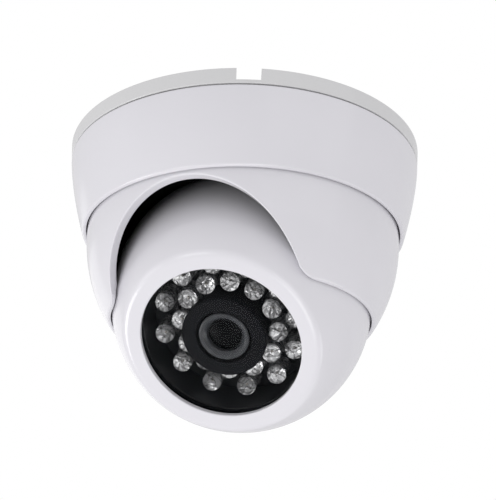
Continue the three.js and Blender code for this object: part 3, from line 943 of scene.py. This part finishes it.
def ball_front(sizes):
    rounding = sizes.face_round / MM
    inner = BALL_RADIUS - BALL_WALL
    pocket = FACE - LIP
    bend_radius, bend_height = BALL_RADIUS - rounding, FACE - rounding
    centre = (on_sphere(bend_height, bend_radius), bend_height)
    shoulder = latitude(bend_height, bend_radius)
    past_lip = WINDOW_RADIUS + 2.3
    edge = rounded([(past_lip, pocket), (WINDOW_RADIUS, pocket, 0.12), (WINDOW_RADIUS, FACE, 0.32),
                    (past_lip, FACE)])[1:-1]
    profile = edge + arc(*centre, rounding, 90, shoulder, 14)
    profile += arc(0, 0, BALL_RADIUS, shoulder, latitude(SPLIT, BALL_RADIUS), 56)[1:-1]
    lip_at = on_sphere(SPLIT, BALL_RADIUS)
    profile += rounded([profile[-1], (lip_at, SPLIT, 0.25), (lip_at - 2, SPLIT)])[1:-1]
    profile += arc(0, 0, inner, latitude(SPLIT, inner), latitude(pocket, inner), 40)
    obj = finished_object("ball_front", turned(profile, FACETS["shell"]), ALONG_LENS)
    return dress(obj, "ball", "white_plastic", "ball_front_shell")


def ball_rear():
    edge, floor = SPLIT - FIT, REAR + BALL_WALL
    inner = BALL_RADIUS - BALL_WALL
    seat = CAP_POST["seat"]
    profile = arc(0, 0, BALL_RADIUS, latitude(edge, BALL_RADIUS), latitude(REAR, BALL_RADIUS), 24)
    profile += [(GLAND_HOLE, REAR), (GLAND_HOLE, floor)]
    profile += arc(0, 0, inner, latitude(floor, inner), latitude(edge, inner), 24)
    obj = finished_object("ball_rear", turned(profile), ALONG_LENS)
    posts, recesses, bores = [], [], []
    for azimuth in CAP_POST["azimuths"]:
        place = Matrix.Translation(around(CAP_SCREWS["ring"], azimuth))
        posts.append((prism(circle(CAP_POST["radius"]), seat, edge - 0.05), place.copy()))
        recesses.append((prism(circle(CAP_POST["recess"]), seat - 16, seat), place.copy()))
        bores.append((prism(circle(CAP_POST["hole"]), seat - 1, seat + 9), place.copy()))
    combine(obj, joined(posts), "UNION", place=ALONG_LENS)
    combine(obj, joined(recesses), "DIFFERENCE", place=ALONG_LENS)
    combine(obj, joined(bores), "DIFFERENCE", 0.12, place=ALONG_LENS)
    return dress(obj, "ball", "white_plastic", "ball_rear_cap")


def gland():
    bore, nose, brim, neck, flange = 2.2, 5.4, 6.3, 4.6, 6.5
    inside, outside = REAR + BALL_WALL + FIT, REAR - FIT
    tip, top = outside - 1.5, inside + 1.2
    profile = rounded([(bore, top, 0.3), (bore, tip, 0.4), (nose, tip, 0.6), (brim, outside, 0.3),
                       (neck, outside), (neck, inside), (flange, inside, 0.3), (flange, top, 0.4)])
    obj = finished_object("gland", turned(profile, FACETS["ring"]), ALONG_LENS)
    return dress(obj, "ball", "black_rubber", "cable_gland")


# ------------------------------------------------------------ window

def window():
    radius, back, front = GLASS["radius"], GLASS["back"], GLASS["front"]
    glass = rounded([(0, back), (radius, back, 0.15), (radius, front, 0.25), (0, front)])
    pane = finished_object("window_pane", turned(glass), ALONG_LENS)
    dress(pane, "ball", "window_glass", "window_glass")
    seat, foot, outer = back - 1.6, BOARD["front"] + FIT, BOARD["radius"]
    bezel = rounded([(BEZEL_INNER, foot), (outer, foot), (outer, seat, 0.2), (BEZEL_INNER, seat, 0.4)])
    tube = finished_object("window_tube", turned(bezel), ALONG_LENS)
    dress(tube, "ball", "black_plastic", "window_bezel")
    low, high = back - 1.3, back - FIT
    ring = rounded([(BEZEL_INNER, low, 0.25), (radius, low, 0.25), (radius, high, 0.35),
                    (BEZEL_INNER, high, 0.35)])
    seal = finished_object("window_ring", turned(ring), ALONG_LENS)
    dress(seal, "ball", "black_rubber", "window_seal")


# ------------------------------------------------------------ lamps

def lamp_board():
    hole, radius, back, front = BOARD["hole"], BOARD["radius"], BOARD["back"], BOARD["front"]
    outline = rounded([(hole, back, 0.1), (radius, back, 0.1), (radius, front, 0.1), (hole, front, 0.1)])
    obj = finished_object("lamp_board", turned(outline), ALONG_LENS)
    return dress(obj, "ball", "board_black", "led_board")


def lamp_rings(loose_turn):
    """Inputs for the two rings of lamps."""
    first_seed = 7
    return [{"Count": LAMPS_PER_RING, "Radius": radius, "Start": math.radians(start),
             "Loose turn": loose_turn, "Seed": first_seed + number}
            for number, (radius, start) in enumerate(LAMP_RINGS)]


def lamp_bodies(sizes):
    radius = sizes.lamp_radius / MM
    foot, dome, flange = LAMP["foot"], LAMP["dome"], LAMP["flange"]
    step = foot + LAMP["step"]
    skirt = rounded([(0, foot), (flange, foot, 0.12), (flange, step, 0.15), (radius, step, 0.1),
                     (radius, dome)])
    profile = skirt + arc(0, dome, radius, 0, 90, 14)[1:-1] + [(0, dome + radius)]
    nodes = [f"ir_led_{number + 1:02d}" for number in range(LAMPS_PER_RING * len(LAMP_RINGS))]
    obj = ring_of_copies("lamp_bodies", turned(profile, FACETS["lamp"]), MATERIALS["led_epoxy"],
                         lamp_rings(0), ALONG_LENS)
    return dress(obj, "ball", "led_epoxy", *nodes)


def crinkled_dish(radius, height, depth, sides, seed):
    """A thin stamped dish of flat facets, each tilted its own way, with a flat underside."""
    rng = random.Random(seed)
    made = bmesh.new()
    sway = 0.25         # share of a facet that a corner may stray to the side

    def crumpled(reach, k):
        azimuth = 360 * (k + rng.uniform(-sway, sway)) / sides
        return around(reach, azimuth, height + rng.uniform(-depth, depth))

    under = [made.verts.new(around(radius, 360 * k / sides, height - 2 * depth)) for k in range(sides)]
    rings = [[made.verts.new(crumpled(radius * share, k)) for k in range(sides)]
             for share in (1.0, 0.68, 0.36)]
    middle = made.verts.new((0, 0, height))
    made.faces.new(under[::-1])
    for low, high in zip([under, *rings], rings):
        for k in range(sides):
            after = (k + 1) % sides
            made.faces.new((low[k], low[after], high[after]))
            made.faces.new((low[k], high[after], high[k]))
    for k in range(sides):
        made.faces.new((rings[-1][k], rings[-1][(k + 1) % sides], middle))
    return made


def lamp_lead_frame():
    """The metal inside a lamp: crinkled dishes, the top one under the chip, on two posts over pads."""
    foot = LAMP["foot"] + 0.1
    top = LAMP["dome"] - LAMP["dish"]
    dishes = [crinkled_dish(2.25, top, 0.19, 9, 5), crinkled_dish(2.2, top - 1.5, 0.25, 8, 3),
              crinkled_dish(2.2, top - 2.8, 0.2, 7, 11)]
    height = top - 0.4 - foot
    posts = [box((0.8, 0.6, height), (side, 0, foot + height / 2)) for side in (-1.3, 1.3)]
    pads = [box((1.7, 3.8, 0.12), (side, 0, foot)) for side in (-1.05, 1.05)]
    return joined([(part, UPRIGHT) for part in (*dishes, *posts, *pads)])


def lamp_insides(sizes):
    rings = lamp_rings(sizes.lamp_turn)
    frame_metal, chip_metal = MATERIALS["lamp_frame"], MATERIALS["lamp_chip"]
    frames = ring_of_copies("lamp_lead_frames", lamp_lead_frame(), frame_metal, rings, ALONG_LENS)
    dress(frames, "ball", "steel", material="lamp_frame")
    die = box((0.35, 0.35, 0.2), (0, 0, LAMP["dome"] - LAMP["dish"] + 0.1))
    chips = ring_of_copies("lamp_chips", die, chip_metal, rings, ALONG_LENS)
    dress(chips, "ball", "steel", material="lamp_chip")


# ------------------------------------------------------------ lens

def lens_sleeve():
    bore, neck, head, mouth = SLEEVE["bore"], SLEEVE["neck"], SLEEVE["head"], SLEEVE["mouth"]
    shoulder, front = SLEEVE["shoulder"], SLEEVE["front"]
    foot, lip = BOARD["front"] + FIT, front - 1.5
    profile = rounded([(bore, foot), (neck, foot), (neck, shoulder, 0.3), (head, shoulder, 0.3),
                       (head, front, 0.5), (mouth, front, 0.25), (mouth, lip), (bore, lip)])
    obj = finished_object("sleeve", turned(profile, FACETS["lens"]), ALONG_LENS)
    return dress(obj, "ball", "black_rubber", "lens_sleeve")


def lens_barrel():
    thread, head, glass = LENS["thread"], LENS["head"], LENS["glass"]
    back, shoulder, front, seat = LENS["back"], LENS["shoulder"], LENS["front"], LENS["seat"]
    floor = seat - 1.5
    profile = rounded([(0, back), (thread, back, 0.2), (thread, shoulder), (head, shoulder, 0.2),
                       (head, front, 0.5), (head - 1.1, front, 0.45), (glass, seat, 0.15), (glass, floor),
                       (0, floor)])
    obj = finished_object("lens_tube", turned(profile, FACETS["lens"]), ALONG_LENS)
    return dress(obj, "lens", "black_plastic", "lens_barrel", material="lens_ring")


def lens_glass():
    edge = LENS["glass"] - FIT
    low = LENS["seat"] - 1.2
    rise = 0.8
    top = low + 0.4 + rise
    bulge = (edge ** 2 + rise ** 2) / (2 * rise)
    start = math.degrees(math.asin(edge / bulge))
    dome = arc(0, top - bulge, bulge, 90 - start, 90, 12)
    profile = [(0, low), (edge, low), *dome[:-1], (0, top)]
    obj = finished_object("lens_element", turned(profile, FACETS["ring"]), ALONG_LENS)
    return dress(obj, "lens", "lens_glass", "lens_front_glass")


# ------------------------------------------------------------ screws

def screw_template(head, length):
    """A pan-head screw with a cross recess. Its head is above 0 and its ridged shank below."""
    top, brim, thread, root, tip, pitch = 1.5, 0.9, 0.98, 0.82, 0.5, 0.45
    ridges = []
    for k in range(int((length - 1) / pitch)):
        z = -0.2 - k * pitch
        ridges += [(thread, z), (root, z - pitch / 2)]
    cap = rounded([(0, top), (head * 0.55, top, 0.1), (head, brim, 0.3), (head, 0, 0.1), (thread, 0)])
    outline = [*cap, *ridges, (tip, -length), (0, -length)]
    scratch = finished_object("screw_scratch", turned(outline, FACETS["screw"]))
    span, width, depth = head * 1.05, 0.42, 0.8
    for bar in (box((span, width, depth), (0, 0, top)), box((width, span, depth), (0, 0, top))):
        combine(scratch, joined([(bar, UPRIGHT)]), "DIFFERENCE")
    cut = bmesh.new()
    cut.from_mesh(scratch.data)
    cut.transform(Matrix.Scale(1 / MM, 4))
    bpy.data.objects.remove(scratch)
    return cut


def screws(sizes):
    head = sizes.screw_head / MM
    flipped = ALONG_LENS @ Matrix.Rotation(math.pi, 4, "X")
    loose_turn = 1.5
    sets = [("retainer", "shroud", {**RETAINER_SCREWS, "seat": RETAINER_TOP + FIT}, UPRIGHT),
            ("board", "ball", BOARD_SCREWS, flipped),
            ("cap", "ball", CAP_SCREWS, flipped)]
    for name, body, screw, place in sets:
        count = screw["count"]
        ring = {"Count": count, "Radius": screw["ring"], "Height": screw["seat"],
                "Start": math.radians(screw["start"]), "Loose turn": loose_turn, "Seed": count}
        template = screw_template(head, screw["length"])
        obj = ring_of_copies(f"{name}_screws", template, MATERIALS["steel"], [ring], place)
        dress(obj, body, "steel", *[f"{name}_screw_{number + 1}" for number in range(count)])


# ------------------------------------------------------------ studio

VIEW = {"azimuth": 20.04, "elevation": -24.79, "distance": 461.3, "aim": (-2.34, 10.48, -23.05),
        "roll": 1.16}
LENS_LENGTH = 122.4
SENSOR_WIDTH = 36
NEAREST, FARTHEST = 0.01, 200       # what the camera sees, in metres
LIGHT_AIM = (0, 0, -35)
SOFTBOX_DISTANCE = 850
# name, side in millimetres, azimuth from the front towards +X, elevation, watts
SOFTBOXES = [
    ("low_left", 300, -70, -41, 1.5), ("under", 300, 20, -64, 0.7), ("low_right", 300, 108, -42, 0.45),
    ("high_right", 900, 60, 30, 0.6), ("low_back", 600, 160, -50, 0.4), ("back_left", 600, -130, 0, 0.4),
    ("front_left", 250, -50, -20, 0.3), ("front", 250, -21, -21, 0.45), ("front_right", 250, 35, -40, 0.35)]
SEEN = {"Color": (1, 1, 1, 1), "Strength": 1.0}
LIT = {"Color": (0.985, 0.98, 1.0, 1), "Strength": 0.715}
FLOOR_DROP = 900
FLOOR_REACH = 40000


def outwards(azimuth, elevation):
    """The direction from the object, with its azimuth from the front towards +X."""
    turn, rise = math.radians(azimuth), math.radians(elevation)
    return Vector((math.sin(turn) * math.cos(rise), -math.cos(turn) * math.cos(rise), math.sin(rise)))


def add_camera():
    back = outwards(VIEW["azimuth"], VIEW["elevation"])
    data = bpy.data.cameras.new("camera")
    data.lens = LENS_LENGTH
    data.sensor_width = SENSOR_WIDTH
    data.clip_start = NEAREST
    data.clip_end = FARTHEST
    camera = bpy.data.objects.new("camera", data)
    camera.location = (Vector(VIEW["aim"]) + back * VIEW["distance"]) * MM
    roll = Matrix.Rotation(math.radians(VIEW["roll"]), 3, "Z")
    camera.rotation_euler = ((-back).to_track_quat("-Z", "Y").to_matrix() @ roll).to_euler()
    bpy.context.scene.collection.objects.link(camera)
    bpy.context.scene.camera = camera


def add_softbox(name, size, azimuth, elevation, watts):
    """A square softbox aimed at the object."""
    out = outwards(azimuth, elevation)
    data = bpy.data.lights.new(name, "AREA")
    data.size = size * MM
    data.energy = watts
    light = bpy.data.objects.new(name, data)
    light.location = (Vector(LIGHT_AIM) + out * SOFTBOX_DISTANCE) * MM
    light.rotation_euler = (-out).to_track_quat("-Z", "Y").to_euler()
    bpy.context.scene.collection.objects.link(light)


def add_world():
    """A plain white surround for the camera, and a softer one that lights the object."""
    world = bpy.data.worlds.new("studio")
    bpy.context.scene.world = world
    world.use_nodes = True
    tree = world.node_tree
    tree.nodes.clear()
    mix = tree.nodes.new("ShaderNodeMixShader")
    for socket, look in ((1, LIT), (2, SEEN)):
        background = tree.nodes.new("ShaderNodeBackground")
        for label, value in look.items():
            background.inputs[label].default_value = value
        tree.links.new(background.outputs[0], mix.inputs[socket])
    path = tree.nodes.new("ShaderNodeLightPath")
    tree.links.new(path.outputs["Is Camera Ray"], mix.inputs[0])
    output = tree.nodes.new("ShaderNodeOutputWorld")
    tree.links.new(mix.outputs[0], output.inputs[0])


def add_floor(colour):
    paint = Paint("studio_floor", Roughness=0.8)
    paint.feed("Base Color", paint.blend(paint.noise(0.002, 2), rgba(colour, 0.98), rgba(colour)))
    made = bmesh.new()
    bmesh.ops.create_grid(made, x_segments=2, y_segments=2, size=FLOOR_REACH)
    floor = finished_object("floor", made, Matrix.Translation((0, 0, -FLOOR_DROP)))
    floor.data.materials.append(paint.material)


# ------------------------------------------------------------ operators

class DOME_OT_materials(bpy.types.Operator):
    """Make one material for each finish, and dress the CAD nodes that stay"""
    bl_idname = "dome_camera.materials"
    bl_label = "Materials"

    def execute(self, context):
        make_materials(context.scene.dome_camera_colours)
        for name, node in frame["nodes"].items():
            node.data.materials.clear()
            node.data.materials.append(MATERIALS[SLOTS[name]])
        return {"FINISHED"}


class DOME_OT_base(bpy.types.Operator):
    """Make the base and its cable grommet"""
    bl_idname = "dome_camera.base"
    bl_label = "Base"

    def execute(self, context):
        base_shell()
        grommet()
        return {"FINISHED"}


class DOME_OT_cover(bpy.types.Operator):
    """Make the cover ring"""
    bl_idname = "dome_camera.cover"
    bl_label = "Cover ring"

    def execute(self, context):
        cover(context.scene.dome_camera_sizes)
        return {"FINISHED"}


class DOME_OT_shroud(bpy.types.Operator):
    """Make the panning shroud with its arched opening"""
    bl_idname = "dome_camera.shroud"
    bl_label = "Shroud"

    def execute(self, context):
        shroud(context.scene.dome_camera_sizes)
        shroud_bosses()
        # a black disc that makes the gap under the arch read as shade
        light_shield()
        return {"FINISHED"}


class DOME_OT_ball(bpy.types.Operator):
    """Make the two shells of the camera ball and its cable gland"""
    bl_idname = "dome_camera.ball"
    bl_label = "Camera ball"

    def execute(self, context):
        ball_front(context.scene.dome_camera_sizes)
        ball_rear()
        gland()
        return {"FINISHED"}


class DOME_OT_window(bpy.types.Operator):
    """Make the window's glass, seal and tube"""
    bl_idname = "dome_camera.window"
    bl_label = "Window"

    def execute(self, context):
        window()
        return {"FINISHED"}


class DOME_OT_lamps(bpy.types.Operator):
    """Make the lamp board and the two rings of infrared lamps"""
    bl_idname = "dome_camera.lamps"
    bl_label = "Infrared lamps"

    def execute(self, context):
        lamp_board()
        lamp_bodies(context.scene.dome_camera_sizes)
        lamp_insides(context.scene.dome_camera_sizes)
        return {"FINISHED"}


class DOME_OT_lens(bpy.types.Operator):
    """Make the lens, its front glass and the black sleeve round it"""
    bl_idname = "dome_camera.lens"
    bl_label = "Lens"

    def execute(self, context):
        lens_sleeve()
        lens_barrel()
        lens_glass()
        return {"FINISHED"}


class DOME_OT_screws(bpy.types.Operator):
    """Make the three sets of screws"""
    bl_idname = "dome_camera.screws"
    bl_label = "Screws"

    def execute(self, context):
        screws(context.scene.dome_camera_sizes)
        return {"FINISHED"}


class DOME_OT_stage(bpy.types.Operator):
    """Make the floor, the lights, the world and the camera"""
    bl_idname = "dome_camera.stage"
    bl_label = "Studio"

    def execute(self, context):
        bpy.context.scene.view_settings.view_transform = "Standard"
        add_camera()
        add_world()
        add_floor(tuple(context.scene.dome_camera_colours.floor))
        for softbox in SOFTBOXES:
            add_softbox(*softbox)
        return {"FINISHED"}


class DOME_PT_panel(bpy.types.Panel):
    """Lists the steps and the values that they read"""
    bl_idname = "DOME_PT_panel"
    bl_label = "Dome Camera"
    bl_space_type = "VIEW_3D"
    bl_region_type = "UI"
    bl_category = "Dome Camera"

    def draw(self, context):
        layout = self.layout
        for group in (context.scene.dome_camera_sizes, context.scene.dome_camera_colours):
            for name in group.__annotations__:
                layout.prop(group, name)
        for step in STEPS:
            layout.operator(step.bl_idname)


STEPS = [DOME_OT_materials, DOME_OT_stage, DOME_OT_base, DOME_OT_cover, DOME_OT_shroud, DOME_OT_ball,
         DOME_OT_window, DOME_OT_lamps, DOME_OT_lens, DOME_OT_screws]
CLASSES = [DomeCameraSizes, DomeCameraColours, *STEPS, DOME_PT_panel]


def register():
    for each in CLASSES:
        bpy.utils.register_class(each)
    bpy.types.Scene.dome_camera_sizes = bpy.props.PointerProperty(type=DomeCameraSizes)
    bpy.types.Scene.dome_camera_colours = bpy.props.PointerProperty(type=DomeCameraColours)


def unregister():
    del bpy.types.Scene.dome_camera_colours
    del bpy.types.Scene.dome_camera_sizes
    for each in reversed(CLASSES):
        bpy.utils.unregister_class(each)


def main():
    register()
    for step in STEPS:
        name = step.bl_idname.split(".")[1]
        getattr(bpy.ops.dome_camera, name)()


if __name__ == "__main__":
    main()
